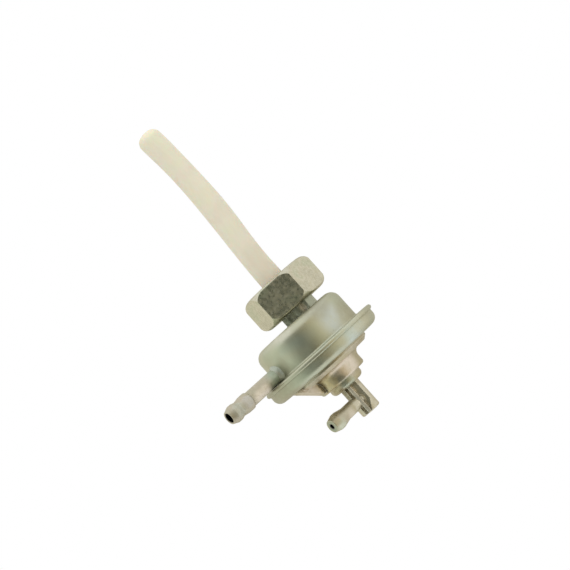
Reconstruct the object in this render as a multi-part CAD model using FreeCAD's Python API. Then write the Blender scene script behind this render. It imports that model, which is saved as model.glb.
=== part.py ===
"""Vacuum-operated fuel tap for a small motor scooter, all sizes in millimetres.

The tap hangs under the tank as it is fitted, strainer upwards. The origin is the centre of the
gasket face that seals against the tank, on the axis of the union nut, with +Z up. The fuel outlet
points along -X. The drawn housing stands off the neck's axis, towards the outlet.
"""
import FreeCAD, Part
import math
import os

Vector = FreeCAD.Vector
UP = Vector(0, 0, 1)

# Union nut, hexagonal, captive on the neck, M16 x 1.5 inside
nut_flats = 22.0
nut_height = 11.0
nut_lip = 2.4                 # inward lip that catches the neck's flange
nut_corner = 3.1              # radius that rounds the hexagon's corners at both ends
nut_edge_round = 0.85         # rounding along the ends of its flats
nut_round_over = 0.1          # how far the rounding cylinder clears the hexagon's corners
nut_bore_radius = 7.2         # minor radius of the M16 x 1.5 thread
nut_mouth_chamfer = 0.8
nut_turn = -7.0               # degrees that a flat's normal lies from +X
nut_float = 2.75              # the nut's axial play between neck flange and housing
running_clearance = 0.1       # radial clearance of the lip round the neck's lugs

# Tank gasket
gasket_thickness = 1.5
gasket_radius = 6.9
gasket_hole_radius = 4.9

# Inlet neck, one piece with its flange and three lugs
neck_flange_radius = 6.95
neck_flange_thickness = 1.8
neck_core_radius = 3.0
neck_bore_radius = 1.8
neck_groove_radius = 2.5      # turned groove at the foot of the core, between the lugs
neck_groove_height = 0.6
lug_radius = 6.15
lug_angle = 42.0              # degrees that each lug fills
lug_count = 3
lug_turn = 52.0               # degrees from +X to the middle of the first lug
spigot_radius = 3.2
spigot_reach = 3.0            # spigot's length below the top of the housing
neck_offset = 4.65            # neck axis to housing axis

# Standpipe and strainer
pipe_radius = 2.1
pipe_wall = 0.5
pipe_socket = 4.5             # depth that the pipe is pressed into the neck
pipe_height = 26.0            # above the tank seat
collar_radius = 4.7
collar_height = 1.8           # above the tank seat
collar_sleeve_radius = 3.4
collar_sleeve_height = 6.5
collar_edge = 0.3
collar_clearance = 0.05
sock_radius = 3.9
sock_wall = 0.5
sock_height = 64.4            # tip of the sock above the tank seat
sock_straight = 6.5           # height above the seat where the sock starts to bend
sock_bend_height = 23.0       # height where it starts to bend back
sock_lean = 5.2               # degrees that it leans between the two bends
sock_curl = 9.9               # degrees that it curls back up to its tip
sock_lean_towards = -30.0     # direction of the lean, degrees from +X
sock_tip_height = 3.0         # length of the closed tip
sock_tip_corner = 2.8         # rounding of the closed tip

# Drawn upper housing
sheet = 0.5
fold_round = 0.49             # inner bend of a folded edge, as a share of the sheet
cup_radius = 15.85
cup_height = 10.9
cup_corner = 3.3
cup_foot_radius = 0.6         # bend between the wall and the flange
rim_overhang = 0.8            # rolled rim beyond the wall of the pan
hole_clearance = 0.05

# Lower pan, its flange held in the rolled rim
pan_radius = 20.1
pan_depth = 5.2               # from the top of the rim to the underside of the floor
pan_corner = 2.5
pan_hole_radius = 14.2
pan_fit = 0.15                # radial room between the pan's wall and what it holds
vent_radius = 0.5             # hole that lets air in between the diaphragms
vent_turn = 70.0              # degrees from +X
vent_slot_depth = 0.5

# Fuel outlet, a turned tube with two beads
outlet_rise = 2.5             # axis above the top of the rim
outlet_radius = 2.42
outlet_bore_radius = 1.6
outlet_mouth = 0.2            # chamfer of the bore's mouth
outlet_length = 37.0          # from the housing axis to the end
outlet_inside = 0.9           # how far the tube stands into the housing
outlet_end_radius = 2.1
outlet_bead_radius = 2.85
outlet_waist_radius = 2.48
outlet_second_bead_radius = 2.82
bead_land = 1.2               # straight crest of each bead
bead_round = 0.8
bead_edge = 0.3
tube_edge = 0.15
outlet_nose = 1.8             # taper from the end to the first crest
outlet_waist_at = 4.3         # distances from the end
outlet_second_at = 6.9
outlet_shoulder_at = 8.9
braze_width = 1.1             # fillet of brazing metal round the tube's root

# Valve seat block, under the top of the housing
washer_thickness = 0.5
washer_radius = 6.0
block_radius = 9.0
block_height = 3.8
channel_width = 3.4
channel_height = 1.0
nozzle_radius = 3.0
nozzle_height = 1.0
nozzle_bore_radius = 1.7

# Valve, carried by the two diaphragms
valve_lift = 1.6
pad_radius = 4.4
pad_thickness = 1.6
pad_recess = 1.0
head_radius = 5.2
head_base = 1.0               # metal under the pad
waist_radius = 3.0
stem_radius = 1.5
plate_thickness = 0.8
fuel_plate_inset = 3.3        # from the middle of a diaphragm's bead to the plate's edge
spring_plate_inset = 2.6
centre_spacer_radius = 6.0
stem_washer_radius = 4.4
stem_washer_thickness = 0.5
rivet_radius = 2.5
rivet_height = 0.8
stem_edge = 0.2
stem_neck_round = 0.4
rivet_round = 0.5
stack_clearance = 0.05        # round the stem, in the diaphragms, plates and spacer

# Diaphragms, clamped between the housing and the cover
diaphragm_thickness = 0.6
spacer_thickness = 1.0
clamp_width = 6.5             # width of the ring on which the diaphragms are clamped
roll_height = 1.3             # height of each diaphragm's rolling bead
fuel_roll_inset = 1.15        # from the clamped ring's bore to the middle of each bead
vacuum_roll_inset = 2.35
roll_foot_round = 0.3
roll_crest_round = 0.5

# Return spring
spring_mean_radius = 5.7
spring_wire = 0.8
spring_turns = 5.0

# Vacuum cover, a die casting with its post and hose barb
cover_step_radius = 14.05
cover_step_drop = 1.9         # below the pan's hole
cover_step_chamfer = 1.1
cover_step_chamfer_width = 1.3
dome_radius = 8.25
dome_drop = 6.8               # underside of the dome below the pan
dome_fillet = 2.2
dome_corner = 0.8
cap_radius = 5.75
cap_height = 2.4
cap_corner = 1.5
cavity_shelf_inset = 1.95     # from the clamped ring's bore to the shelf's edge
lift_margin = 0.5             # room left under the spring plate at full lift
cavity_neck_radius = 6.6
cavity_neck_depth = 5.0
cover_floor = 1.1             # dome's floor, above its underside
cavity_round = 0.8
cavity_floor_round = 0.4
step_round = 0.3
post_radius = 3.3
post_height = 10.1
post_corner = 0.6
post_turn = 233.5             # direction of the post's front rib, degrees from +X
post_rib_width = 1.1
post_rib_shift = -0.15        # the rib's middle from the post's
post_narrow_groove = 1.0      # widths of the grooves each side of the rib
post_wide_groove = 1.9
post_groove_depth = 1.7
post_groove_runout = 3.3      # height over which the wide groove slants out
gusset_turn = 184.5
gusset_thickness = 2.1
gusset_reach = 16.6           # along the pan's floor
gusset_foot = 9.0             # at the underside of the dome

# Vacuum barb on the post
vacuum_turn = 184.5           # degrees from +X
vacuum_drop = 5.35            # its axis below the cap, at the post
vacuum_length = 14.4          # from the post's axis to the end
vacuum_radius = 2.1
vacuum_bore_radius = 0.825
vacuum_end_radius = 2.1
vacuum_bead_radius = 2.72
vacuum_nose = 2.2
vacuum_bead_tail = 3.0
vacuum_tail_round = 4.0       # soft change from the stem to the bead's tail

# Heights worked out from the sizes above
seat_top = 0.0
flange_top = seat_top - gasket_thickness
flange_bottom = flange_top - neck_flange_thickness
nut_bottom = flange_bottom - nut_lip
cup_top = nut_bottom - nut_float
rim_top = cup_top - cup_height
clamp_top = rim_top - sheet
fuel_diaphragm_bottom = clamp_top - diaphragm_thickness
vacuum_diaphragm_top = fuel_diaphragm_bottom - spacer_thickness
vacuum_diaphragm_bottom = vacuum_diaphragm_top - diaphragm_thickness
pan_underside = rim_top - pan_depth
cover_face = pan_underside + sheet          # where the cover bears on the pan's floor
dome_bottom = pan_underside - dome_drop
cavity_floor = dome_bottom + cover_floor
cavity_shelf_depth = plate_thickness + valve_lift + lift_margin   # below the cover's top face
cap_bottom = dome_bottom - cap_height
post_bottom = cap_bottom - post_height
vacuum_axis = cap_bottom - vacuum_drop
outlet_axis = rim_top + outlet_rise
block_top = cup_top - sheet - washer_thickness
block_bottom = block_top - block_height
nozzle_face = block_bottom - nozzle_height
pad_bottom = nozzle_face - pad_thickness
head_bottom = pad_bottom - head_base
spring_plate_bottom = vacuum_diaphragm_bottom - plate_thickness

housing = Vector(-neck_offset, 0, 0)        # where the housing's axis crosses the seat plane
rim_radius = pan_radius + rim_overhang
held_radius = pan_radius - sheet - pan_fit  # outside of what the pan holds
clamp_bore_radius = held_radius - clamp_width
fuel_roll_middle = clamp_bore_radius - fuel_roll_inset
vacuum_roll_middle = clamp_bore_radius - vacuum_roll_inset
fuel_plate_radius = fuel_roll_middle - fuel_plate_inset
spring_plate_radius = vacuum_roll_middle - spring_plate_inset
cavity_shelf_radius = clamp_bore_radius - cavity_shelf_inset


def direction(degrees):
    return Vector(math.cos(math.radians(degrees)), math.sin(math.radians(degrees)), 0)


def outline(corners):
    """Closed wire in the XZ plane from (across, up, corner radius) triples."""
    count = len(corners)
    places = [Vector(across, 0, up) for across, up, radius in corners]
    starts = []
    ends = []
    middles = []
    for index, (across, up, radius) in enumerate(corners):
        here = places[index]
        if radius <= 0:
            starts.append(here)
            ends.append(here)
            middles.append(None)
            continue
        back = (places[index - 1] - here).normalize()
        ahead = (places[(index + 1) % count] - here).normalize()
        half = back.getAngle(ahead) / 2
        bisector = (back + ahead).normalize()
        starts.append(here + back * (radius / math.tan(half)))
        ends.append(here + ahead * (radius / math.tan(half)))
        middles.append(here + bisector * (radius / math.sin(half) - radius))
    edges = []
    for index in range(count):
        if middles[index]:
            edges.append(Part.Arc(starts[index], middles[index], ends[index]).toShape())
        following = starts[(index + 1) % count]
        if (following - ends[index]).Length > 1e-6:
            edges.append(Part.LineSegment(ends[index], following).toShape())
    return Part.Wire(edges)


def turned(corners, centre=Vector(0, 0, 0)):
    """Solid of revolution about a vertical axis through centre."""
    solid = Part.Face(outline(corners)).revolve(Vector(0, 0, 0), UP, 360)
    solid.translate(centre)
    return solid


def disc(radius, low, high, centre=Vector(0, 0, 0)):
    return Part.makeCylinder(radius, high - low, centre + Vector(0, 0, low))


def ring(outer, inner, low, high, centre=Vector(0, 0, 0)):
    return disc(outer, low, high, centre).cut(disc(inner, low, high, centre))


def block(length, width, height, corner, turn=0.0, about=Vector(0, 0, 0)):
    """Box whose low corner is given in its own frame, then turned about a vertical axis."""
    solid = Part.makeBox(length, width, height, corner)
    solid.rotate(Vector(0, 0, 0), UP, turn)
    solid.translate(about)
    return solid


def along(solid, start, heading):
    """Lay a solid that was turned about +Z along another heading from start."""
    solid.Placement = FreeCAD.Placement(start, FreeCAD.Rotation(UP, heading))
    return solid


def make_union_nut():
    corner_radius = nut_flats / math.sqrt(3)
    nut_top = nut_bottom + nut_height
    points = []
    for corner in range(7):
        points.append(direction(nut_turn + 30 + 60 * corner) * corner_radius + Vector(0, 0, nut_bottom))
    hexagon = Part.Face(Part.makePolygon(points)).extrude(Vector(0, 0, nut_height))
    end_edges = [edge for edge in hexagon.Edges if abs(edge.tangentAt(0).z) < 0.5]
    hexagon = hexagon.makeFillet(nut_edge_round, end_edges)
    round_radius = corner_radius + nut_round_over
    rounding = turned([
        (0, nut_bottom, 0), (round_radius, nut_bottom, nut_corner),
        (round_radius, nut_top, nut_corner), (0, nut_top, 0)])
    lip_radius = lug_radius + running_clearance
    hole = turned([
        (0, nut_bottom, 0), (lip_radius, nut_bottom, 0), (lip_radius, flange_bottom, 0),
        (nut_bore_radius, flange_bottom, 0), (nut_bore_radius, nut_top - nut_mouth_chamfer, 0),
        (nut_bore_radius + nut_mouth_chamfer, nut_top, 0), (0, nut_top, 0)])
    return hexagon.common(rounding).cut(hole)


def make_tank_gasket():
    return ring(gasket_radius, gasket_hole_radius, flange_top, seat_top)


def make_inlet_neck():
    body = disc(neck_flange_radius, flange_bottom, flange_top)
    body = body.fuse(disc(neck_core_radius, cup_top + neck_groove_height, flange_bottom))
    body = body.fuse(disc(neck_groove_radius, cup_top, cup_top + neck_groove_height))
    body = body.fuse(disc(spigot_radius, cup_top - spigot_reach, cup_top))
    for lug in range(lug_count):
        sector = Part.makeCylinder(
            lug_radius, flange_bottom - cup_top, Vector(0, 0, cup_top), UP, lug_angle)
        sector.rotate(Vector(0, 0, 0), UP, lug_turn + lug * 360.0 / lug_count - lug_angle / 2)
        body = body.fuse(sector)
    body = body.cut(disc(neck_bore_radius, cup_top - spigot_reach, flange_top))
    body = body.cut(disc(pipe_radius, flange_top - pipe_socket, flange_top))
    return body.removeSplitter()


def make_standpipe():
    return ring(pipe_radius, pipe_radius - pipe_wall, flange_top - pipe_socket, seat_top + pipe_height)


def make_strainer_collar():
    bore = pipe_radius + collar_clearance
    return turned([
        (bore, flange_top, 0), (collar_radius, flange_top, 0), (collar_radius, collar_height, collar_edge),
        (collar_sleeve_radius, collar_height, 0), (collar_sleeve_radius, collar_sleeve_height, 0),
        (bore, collar_sleeve_height, 0)])


def sock_path():
    """Straight run and two tangent arcs, in the XZ plane, from the collar to the tip."""
    lean = math.radians(sock_lean)
    curl = math.radians(sock_curl)
    first_radius = (sock_bend_height - sock_straight) / math.sin(lean)
    start = Vector(0, 0, collar_height)
    foot = Vector(0, 0, sock_straight)
    first_centre = foot + Vector(first_radius, 0, 0)

    def on_first(angle):
        return first_centre + Vector(-math.cos(angle), 0, math.sin(angle)) * first_radius

    bend = on_first(lean)
    rise = sock_height - sock_tip_height - bend.z
    second_radius = rise / (math.sin(lean) + math.sin(curl - lean))
    second_centre = bend - Vector(math.cos(lean), 0, -math.sin(lean)) * second_radius

    def on_second(angle):
        heading = lean - angle
        return second_centre + Vector(math.cos(heading), 0, -math.sin(heading)) * second_radius

    tip = on_second(curl)
    path = Part.Wire([
        Part.LineSegment(start, foot).toShape(),
        Part.Arc(foot, on_first(lean / 2), bend).toShape(),
        Part.Arc(bend, on_second(curl / 2), tip).toShape()])
    return path, tip, Vector(math.sin(lean - curl), 0, math.cos(lean - curl))


def make_strainer_sock():
    path, tip, heading = sock_path()

    def tube(radius):
        section = Part.Wire([Part.makeCircle(radius, Vector(0, 0, collar_height), UP)])
        return path.makePipeShell([section], True, False)

    def closed_end(radius, height, corner):
        return along(turned([
            (0, 0, 0), (radius, 0, 0), (radius, height, corner), (0, height, 0)]), tip, heading)

    inner = sock_radius - sock_wall
    outside = tube(sock_radius).fuse(closed_end(sock_radius, sock_tip_height, sock_tip_corner))
    inside = tube(inner).fuse(
        closed_end(inner, sock_tip_height - sock_wall, sock_tip_corner - sock_wall))
    sock = outside.cut(inside)
    sock.rotate(Vector(0, 0, 0), UP, sock_lean_towards)
    return sock


def make_neck_washer():
    return ring(washer_radius, spigot_radius + hole_clearance, block_top, block_top + washer_thickness)


def make_seat_block():
    block_middle = cup_top - spigot_reach
    body = disc(block_radius, block_bottom, block_top, housing)
    body = body.fuse(disc(nozzle_radius, nozzle_face, block_bottom, housing))
    body = body.cut(disc(spigot_radius, block_middle, block_top))
    body = body.cut(disc(nozzle_bore_radius, nozzle_face, block_middle, housing))
    channel = block(
        neck_offset, channel_width, channel_height,
        Vector(-neck_offset, -channel_width / 2, block_middle - channel_height))
    channel = channel.fuse(disc(channel_width / 2, block_middle - channel_height, block_middle))
    return body.cut(channel).removeSplitter()


def make_upper_cup():
    inner = cup_radius - sheet
    foot = rim_top - sheet
    rim_bottom = rim_top - 3 * sheet
    fold = rim_radius - sheet
    bend_inner = fold_round * sheet
    bend_outer = bend_inner + sheet
    body = turned([
        (0, cup_top - sheet, 0), (inner, cup_top - sheet, cup_corner - sheet),
        (inner, foot, cup_foot_radius + sheet), (fold, foot, bend_inner),
        (fold, rim_bottom + sheet, bend_inner), (pan_radius, rim_bottom + sheet, 0),
        (pan_radius, rim_bottom, 0), (rim_radius, rim_bottom, bend_outer),
        (rim_radius, rim_top, bend_outer), (cup_radius, rim_top, cup_foot_radius),
        (cup_radius, cup_top, cup_corner), (0, cup_top, 0)], housing)
    body = body.cut(disc(spigot_radius + hole_clearance, cup_top - sheet, cup_top))
    hole = Part.makeCylinder(
        outlet_radius + hole_clearance, cup_radius + cup_foot_radius,
        Vector(-neck_offset, 0, outlet_axis), Vector(-1, 0, 0))
    return body.cut(hole)


def make_outlet():
    """The outlet tube, turned about +Z with its end at the top, then laid along -X."""
    foot = cup_radius - sheet - outlet_inside
    first = outlet_length - outlet_nose
    waist = outlet_length - outlet_waist_at
    second = outlet_length - outlet_second_at
    shoulder = outlet_length - outlet_shoulder_at
    corners = [
        (outlet_bore_radius, foot, 0), (outlet_radius, foot, 0), (outlet_radius, shoulder, 0),
        (outlet_second_bead_radius, shoulder + (outlet_second_bead_radius - outlet_radius), bead_edge),
        (outlet_second_bead_radius, second + bead_land / 2, bead_round),
        (outlet_waist_radius, waist, bead_round), (outlet_bead_radius, first - bead_land, bead_round),
        (outlet_bead_radius, first, bead_round), (outlet_end_radius, outlet_length, tube_edge),
        (outlet_bore_radius + outlet_mouth, outlet_length, 0),
        (outlet_bore_radius, outlet_length - outlet_mouth, 0)]
    return along(turned(corners), Vector(-neck_offset, 0, outlet_axis), Vector(-1, 0, 0))


def make_braze_ring():
    """Fillet of brazing metal between the tube's root and the housing's round wall."""
    start = cup_radius - outlet_radius ** 2 / cup_radius
    fillet = turned([
        (outlet_radius, start, 0), (outlet_radius + braze_width, start, 0),
        (outlet_radius + braze_width / 3, cup_radius + braze_width / 3, braze_width / 2),
        (outlet_radius, cup_radius + braze_width, 0)])
    fillet = along(fillet, Vector(-neck_offset, 0, outlet_axis), Vector(-1, 0, 0))
    fillet = fillet.cut(disc(cup_radius, rim_top - braze_width, cup_top, housing))
    fillet = fillet.cut(disc(rim_radius, rim_top - braze_width, rim_top, housing))
    fillet = fillet.cut(make_upper_cup())
    return max(fillet.Solids, key=lambda solid: solid.Volume)


def make_lower_pan():
    inner = pan_radius - sheet
    flange_radius = rim_radius - sheet
    flange_low = rim_top - 2 * sheet
    body = turned([
        (inner, clamp_top, 0), (flange_radius, clamp_top, fold_round * sheet),
        (flange_radius, flange_low, fold_round * sheet), (pan_radius, flange_low, 0),
        (pan_radius, pan_underside, pan_corner), (pan_hole_radius, pan_underside, 0),
        (pan_hole_radius, cover_face, 0), (inner, cover_face, pan_corner - sheet)], housing)
    middle = (fuel_diaphragm_bottom + vacuum_diaphragm_top) / 2
    hole = Part.makeCylinder(
        vent_radius, rim_radius, housing + Vector(0, 0, middle), direction(vent_turn))
    return body.cut(hole)


def rolled_disc(top, thickness, roll_middle, bore):
    """Flat rubber disc with one rolling bead that rises above its top face."""
    half = roll_height + thickness / 2
    corners = [
        (bore, top, 0), (bore, top - thickness, 0),
        (roll_middle - half + thickness, top - thickness, roll_foot_round),
        (roll_middle - half / 2, top + roll_height - thickness, roll_foot_round),
        (roll_middle + half / 2, top + roll_height - thickness, roll_foot_round),
        (roll_middle + half - thickness, top - thickness, roll_foot_round),
        (held_radius, top - thickness, 0), (held_radius, top, 0),
        (roll_middle + half, top, roll_foot_round),
        (roll_middle + half / 2, top + roll_height, roll_crest_round),
        (roll_middle - half / 2, top + roll_height, roll_crest_round),
        (roll_middle - half, top, roll_foot_round)]
    return turned(corners, housing)


def make_fuel_diaphragm():
    return rolled_disc(clamp_top, diaphragm_thickness, fuel_roll_middle, stem_radius + stack_clearance)


def make_vacuum_diaphragm():
    """The lower diaphragm, its rolling bead hanging down into the cover."""
    disc_up = rolled_disc(0, diaphragm_thickness, vacuum_roll_middle, stem_radius + stack_clearance)
    disc_up.rotate(housing, Vector(1, 0, 0), 180)
    disc_up.translate(Vector(0, 0, vacuum_diaphragm_bottom))
    return disc_up


def make_spacer_ring():
    body = ring(
        held_radius, clamp_bore_radius, vacuum_diaphragm_top, fuel_diaphragm_bottom, housing)
    slot = block(
        held_radius, 2 * vent_radius, vent_slot_depth,
        Vector(0, -vent_radius, (fuel_diaphragm_bottom + vacuum_diaphragm_top) / 2 - vent_slot_depth / 2),
        vent_turn, housing)
    return body.cut(slot)


def make_valve_stem():
    rivet_top = spring_plate_bottom - stem_washer_thickness
    return turned([
        (0, pad_bottom, 0), (pad_radius, pad_bottom, 0), (pad_radius, pad_bottom + pad_recess, 0),
        (head_radius, pad_bottom + pad_recess, stem_edge), (head_radius, head_bottom, stem_edge),
        (waist_radius, head_bottom, stem_neck_round), (waist_radius, clamp_top + plate_thickness, 0),
        (stem_radius, clamp_top + plate_thickness, 0), (stem_radius, rivet_top, 0),
        (rivet_radius, rivet_top, 0), (rivet_radius, rivet_top - rivet_height, rivet_round),
        (0, rivet_top - rivet_height, 0)], housing)


def make_valve_pad():
    return disc(pad_radius, pad_bottom, nozzle_face, housing)


def stack_ring(radius, low, high):
    return ring(radius, stem_radius + stack_clearance, low, high, housing)


def make_fuel_side_plate():
    return stack_ring(fuel_plate_radius, clamp_top, clamp_top + plate_thickness)


def make_centre_spacer():
    return stack_ring(centre_spacer_radius, vacuum_diaphragm_top, fuel_diaphragm_bottom)


def make_spring_plate():
    return stack_ring(spring_plate_radius, spring_plate_bottom, vacuum_diaphragm_bottom)


def make_stem_washer():
    return stack_ring(
        stem_washer_radius, spring_plate_bottom - stem_washer_thickness, spring_plate_bottom)


def make_return_spring():
    """Round-wire compression spring with both ends ground flat."""
    low = cavity_floor
    high = spring_plate_bottom
    height = high - low
    pitch = height / spring_turns
    helix = Part.makeLongHelix(pitch, height, spring_mean_radius)
    section = Part.Wire([Part.makeCircle(
        spring_wire / 2, Vector(spring_mean_radius, 0, 0), Vector(0, 1, 0))])
    coil = Part.Wire(helix.Edges).makePipeShell([section], True, True)
    coil = coil.common(disc(spring_mean_radius + spring_wire, 0, height))
    coil.translate(housing + Vector(0, 0, low))
    return coil


def make_post():
    """The post under the cap, with a groove each side of its front and back ribs."""
    post = turned([
        (0, cap_bottom + cap_corner, 0), (post_radius, cap_bottom + cap_corner, 0),
        (post_radius, post_bottom, post_corner), (0, post_bottom, 0)])
    depth = post_radius - post_groove_depth

    def groove(near, far, runout):
        corners = [
            Vector(depth, near, cap_bottom), Vector(depth, far, cap_bottom),
            Vector(depth, far, post_bottom + runout), Vector(depth, near, post_bottom),
            Vector(depth, near, cap_bottom)]
        return Part.Face(Part.makePolygon(corners)).extrude(Vector(post_radius, 0, 0))

    rib_low = post_rib_shift - post_rib_width / 2
    rib_high = post_rib_shift + post_rib_width / 2
    for face in range(2):
        cutter = groove(rib_low, rib_low - post_narrow_groove, 0)
        cutter = cutter.fuse(groove(rib_high, rib_high + post_wide_groove, post_groove_runout))
        cutter.rotate(Vector(0, 0, 0), UP, 180 * face)
        post = post.cut(cutter)
    post.rotate(Vector(0, 0, 0), UP, post_turn)
    post.translate(housing)
    return post


def make_vacuum_barb():
    crest = vacuum_length - vacuum_nose
    barb = turned([
        (0, 0, 0), (vacuum_radius, 0, 0),
        (vacuum_radius, crest - bead_land - vacuum_bead_tail, vacuum_tail_round),
        (vacuum_bead_radius, crest - bead_land, bead_round), (vacuum_bead_radius, crest, bead_round),
        (vacuum_end_radius, vacuum_length, tube_edge), (0, vacuum_length, 0)])
    return along(barb, housing + Vector(0, 0, vacuum_axis), direction(vacuum_turn))


def make_gusset():
    """Web from the pan's floor to the underside of the dome, in the barb's plane."""
    corners = [
        Vector(0, -gusset_thickness / 2, pan_underside),
        Vector(gusset_reach, -gusset_thickness / 2, pan_underside),
        Vector(gusset_foot, -gusset_thickness / 2, dome_bottom + dome_corner),
        Vector(0, -gusset_thickness / 2, dome_bottom + dome_corner),
        Vector(0, -gusset_thickness / 2, pan_underside)]
    web = Part.Face(Part.makePolygon(corners)).extrude(Vector(0, gusset_thickness, 0))
    web.rotate(Vector(0, 0, 0), UP, gusset_turn)
    web.translate(housing)
    return web


def make_vacuum_cover():
    step_bottom = pan_underside - cover_step_drop
    shell = turned([
        (0, vacuum_diaphragm_bottom, 0), (held_radius, vacuum_diaphragm_bottom, 0),
        (held_radius, cover_face, pan_corner - sheet), (cover_step_radius, cover_face, 0),
        (cover_step_radius, step_bottom + cover_step_chamfer, 0),
        (cover_step_radius - cover_step_chamfer_width, step_bottom, step_round),
        (dome_radius, step_bottom, dome_fillet), (dome_radius, dome_bottom, dome_corner),
        (cap_radius, dome_bottom, 0), (cap_radius, cap_bottom, cap_corner), (0, cap_bottom, 0)], housing)
    body = shell.fuse([make_gusset(), make_post(), make_vacuum_barb()])
    top = vacuum_diaphragm_bottom
    cavity = turned([
        (0, top, 0), (clamp_bore_radius, top, 0), (cavity_shelf_radius, top - cavity_shelf_depth, cavity_round),
        (cavity_neck_radius, top - cavity_neck_depth, cavity_round),
        (cavity_neck_radius, cavity_floor, cavity_floor_round),
        (0, cavity_floor, 0)], housing)
    drilling = disc(vacuum_bore_radius, vacuum_axis, cavity_floor, housing)
    bore = Part.makeCylinder(
        vacuum_bore_radius, vacuum_length, housing + Vector(0, 0, vacuum_axis), direction(vacuum_turn))
    return body.cut([cavity, drilling, bore]).removeSplitter()


pieces = {
    "strainer_sock": make_strainer_sock,
    "strainer_collar": make_strainer_collar,
    "standpipe": make_standpipe,
    "tank_gasket": make_tank_gasket,
    "union_nut": make_union_nut,
    "inlet_neck": make_inlet_neck,
    "neck_washer": make_neck_washer,
    "seat_block": make_seat_block,
    "upper_cup": make_upper_cup,
    "fuel_outlet_barb": make_outlet,
    "outlet_braze_ring": make_braze_ring,
    "lower_pan": make_lower_pan,
    "fuel_diaphragm": make_fuel_diaphragm,
    "diaphragm_spacer_ring": make_spacer_ring,
    "vacuum_diaphragm": make_vacuum_diaphragm,
    "vacuum_cover": make_vacuum_cover,
    "valve_pad": make_valve_pad,
    "valve_stem": make_valve_stem,
    "fuel_side_plate": make_fuel_side_plate,
    "centre_spacer": make_centre_spacer,
    "spring_plate": make_spring_plate,
    "stem_washer": make_stem_washer,
    "return_spring": make_return_spring,
}

os.makedirs("parts", exist_ok=True)
for name, make in pieces.items():
    shape = make()
    solids = shape.Solids
    result = solids[0] if len(solids) == 1 else Part.makeCompound(solids)
    print(name, "solids", len(solids), "valid", result.isValid(), "volume", round(result.Volume, 2))
    result.exportStep("parts/" + name + ".step")
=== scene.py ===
# Fuel tap with a vacuum diaphragm: finishes, strainer cloth, nut thread, light and camera
import math

import bmesh
import bpy
from mathutils import Matrix, Vector
from mathutils.bvhtree import BVHTree


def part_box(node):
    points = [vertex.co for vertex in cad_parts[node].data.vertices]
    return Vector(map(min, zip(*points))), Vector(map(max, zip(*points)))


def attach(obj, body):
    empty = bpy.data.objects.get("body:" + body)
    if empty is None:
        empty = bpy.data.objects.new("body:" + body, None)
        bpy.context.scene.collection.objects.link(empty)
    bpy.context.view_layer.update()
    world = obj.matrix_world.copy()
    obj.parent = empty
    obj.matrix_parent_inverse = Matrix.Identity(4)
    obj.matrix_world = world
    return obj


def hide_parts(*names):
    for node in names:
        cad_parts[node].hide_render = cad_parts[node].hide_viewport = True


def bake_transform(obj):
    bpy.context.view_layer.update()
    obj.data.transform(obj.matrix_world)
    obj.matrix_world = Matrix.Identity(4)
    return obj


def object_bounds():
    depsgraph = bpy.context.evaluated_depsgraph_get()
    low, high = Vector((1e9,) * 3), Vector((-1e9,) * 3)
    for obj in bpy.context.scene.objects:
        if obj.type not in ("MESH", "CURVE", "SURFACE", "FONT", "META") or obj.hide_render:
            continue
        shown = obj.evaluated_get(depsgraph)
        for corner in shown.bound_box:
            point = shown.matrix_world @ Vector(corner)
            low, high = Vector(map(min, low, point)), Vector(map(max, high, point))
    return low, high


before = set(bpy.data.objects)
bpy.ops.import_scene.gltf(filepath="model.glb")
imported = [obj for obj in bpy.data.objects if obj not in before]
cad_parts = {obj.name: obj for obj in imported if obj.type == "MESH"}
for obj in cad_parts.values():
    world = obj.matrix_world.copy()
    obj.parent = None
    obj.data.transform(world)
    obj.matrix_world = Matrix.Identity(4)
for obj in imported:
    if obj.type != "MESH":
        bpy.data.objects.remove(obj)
cadLow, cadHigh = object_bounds()
mm = 0.001  # the scene is in metres
print("frame loaded,", len(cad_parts), "nodes")


# Places that several pieces share, from the frame
def boxCentre(node):
    low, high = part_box(node)
    return (low + high) / 2


housingAxis = boxCentre("upper_cup").xy.to_3d()
neckAxis = boxCentre("tank_gasket").xy.to_3d()


def heading(degrees):
    angle = math.radians(degrees)
    return Vector((math.cos(angle), math.sin(angle), 0))


def housingSpot(azimuth, away, height):  # about the housing's axis, in degrees and mm
    return housingAxis + heading(azimuth) * away * mm + Vector((0, 0, height * mm))


# Shapes taken from the solids, and objects made of shapes
weldDistance = 0.001 * mm


def wallTree(node):  # for feeling out a solid's surface with rays
    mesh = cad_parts[node].data
    corners = [vertex.co for vertex in mesh.vertices]
    return BVHTree.FromPolygons(corners, [face.vertices for face in mesh.polygons])


def weldedShape(node):  # the solid's own mesh as one closed skin
    shape = bmesh.new()
    shape.from_mesh(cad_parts[node].data)
    bmesh.ops.remove_doubles(shape, verts=shape.verts, dist=weldDistance)
    return shape


def makeObject(name, shape):
    mesh = bpy.data.meshes.new(name)
    shape.to_mesh(mesh)
    shape.free()
    made = bpy.data.objects.new(name, mesh)
    bpy.context.scene.collection.objects.link(made)
    return made


# Small helpers that lay shader nodes
cloudSpan = (0.3, 0.7)             # of the noise, spread over the whole of a ramp
raggedSpan = (0.2, 0.6)            # of the noise that frays a bloom
plainStops = (0.35, 0.65)          # of the ramp between the two tints of plain stuff
speckFade = 0.06
speckShift = (0.31, 0.17, 0.05)    # keeps the specks off the clouds
edgeTurn = (0.90, 0.998)           # cosine of the rounding's turn, worn fully and not at all
bevelSamples = 6


def startMaterial(name):
    material = bpy.data.materials.new(name)
    material.use_nodes = True
    tree = material.node_tree
    tree.nodes.clear()
    output = tree.nodes.new("ShaderNodeOutputMaterial")
    shader = tree.nodes.new("ShaderNodeBsdfPrincipled")
    tree.links.new(shader.outputs["BSDF"], output.inputs["Surface"])
    return tree, shader, material


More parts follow.
